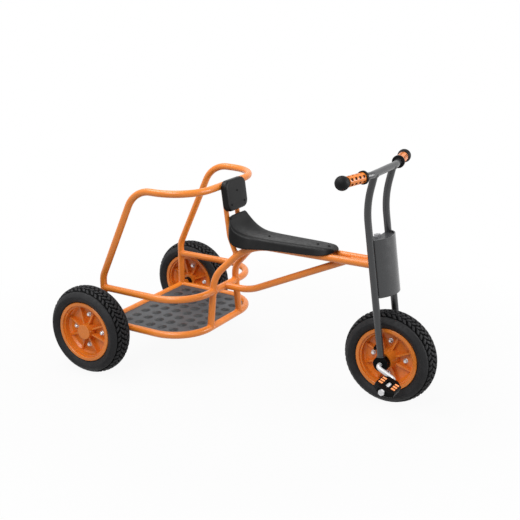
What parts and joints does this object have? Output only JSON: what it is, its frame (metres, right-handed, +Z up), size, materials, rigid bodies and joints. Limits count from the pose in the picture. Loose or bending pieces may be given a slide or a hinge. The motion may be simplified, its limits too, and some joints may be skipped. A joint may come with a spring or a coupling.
{
  "type": "taxi tricycle",
  "caption": "Child's pedal tricycle of bent tube with a saddle, a backrest and a rear standing platform inside a guard hoop, on fat pneumatic tyres.",
  "frame": {"origin": "on the floor under the middle of the wheelbase, in the plane of symmetry of the frame", "axes": "+X forwards, +Y to the rider's left, +Z up"},
  "size_m": [1.0818, 0.603, 0.6545],
  "materials": {
    "orange_powder_coat": "gloss powder coat",
    "platform_coat": "satin, dimpled",
    "grey_powder_coat": "satin powder coat",
    "black_moulding": "fine grain",
    "grip_rubber": "matte",
    "orange_moulding": "semi gloss",
    "tyre_rubber": "matte",
    "bright_steel": "zinc plated"
  },
  "bodies": {
    "frame": {"axle_tube": "orange_powder_coat", "stub_axles": "bright_steel", "axle_bushes": "black_moulding", "platform_rail": "orange_powder_coat", "platform_plate": "platform_coat", "upper_rail": "orange_powder_coat", "guard_hoop": "orange_powder_coat", "rail_posts": "orange_powder_coat", "main_tube_right": "orange_powder_coat", "main_tube_left": "orange_powder_coat", "down_tube": "orange_powder_coat", "head_gusset": "orange_powder_coat", "head_tube": "orange_powder_coat", "head_cups": "black_moulding", "saddle_brackets": "orange_powder_coat", "saddle": "black_moulding", "backrest_posts": "orange_powder_coat", "backrest_pad": "black_moulding"},
    "steering": {"fork_tube_right": "grey_powder_coat", "fork_tube_left": "grey_powder_coat", "bearing_housing_right": "black_moulding", "bearing_housing_left": "black_moulding", "lower_crown": "grey_powder_coat", "upper_crown": "grey_powder_coat", "steering_pin": "bright_steel", "shield": "grey_powder_coat", "handlebar": "grey_powder_coat", "grip_right": "grip_rubber", "grip_left": "grip_rubber", "grip_sleeve_right": "orange_moulding", "grip_sleeve_left": "orange_moulding"},
    "front_wheel": {"front_tyre": "tyre_rubber", "front_rim": "orange_moulding", "front_axle": "bright_steel", "crank_right": "bright_steel", "crank_left": "bright_steel"},
    "pedal_right": {"pedal_right": "black_moulding", "pedal_bars_right": "orange_moulding"},
    "pedal_left": {"pedal_left": "black_moulding", "pedal_bars_left": "orange_moulding"},
    "rear_wheel_right": {"rear_tyre_right": "tyre_rubber", "rear_rim_right": "orange_moulding", "hub_cap_right": "orange_moulding"},
    "rear_wheel_left": {"rear_tyre_left": "tyre_rubber", "rear_rim_left": "orange_moulding", "hub_cap_left": "orange_moulding"}
  },
  "joints": [
    {"name": "steering_turn", "type": "hinge", "parent": "frame", "child": "steering", "pos_m": [0.37025, 0, 0.384], "axis": [-0.1392, 0, 0.9903], "range_deg": [-35, 35]},
    {"name": "front_wheel_roll", "type": "hinge", "parent": "steering", "child": "front_wheel", "pos_m": [0.411, 0, 0.13], "axis": [0, 1, 0], "continuous": true},
    {"name": "pedal_right_spin", "type": "hinge", "parent": "front_wheel", "child": "pedal_right", "pos_m": [0.46107, -0.132, 0.10493], "axis": [0, 1, 0], "continuous": true},
    {"name": "pedal_left_spin", "type": "hinge", "parent": "front_wheel", "child": "pedal_left", "pos_m": [0.36093, 0.132, 0.15507], "axis": [0, 1, 0], "continuous": true},
    {"name": "rear_wheel_right_roll", "type": "hinge", "parent": "frame", "child": "rear_wheel_right", "pos_m": [-0.411, -0.261, 0.13], "axis": [0, 1, 0], "continuous": true},
    {"name": "rear_wheel_left_roll", "type": "hinge", "parent": "frame", "child": "rear_wheel_left", "pos_m": [-0.411, 0.261, 0.13], "axis": [0, 1, 0], "continuous": true}
  ]
}
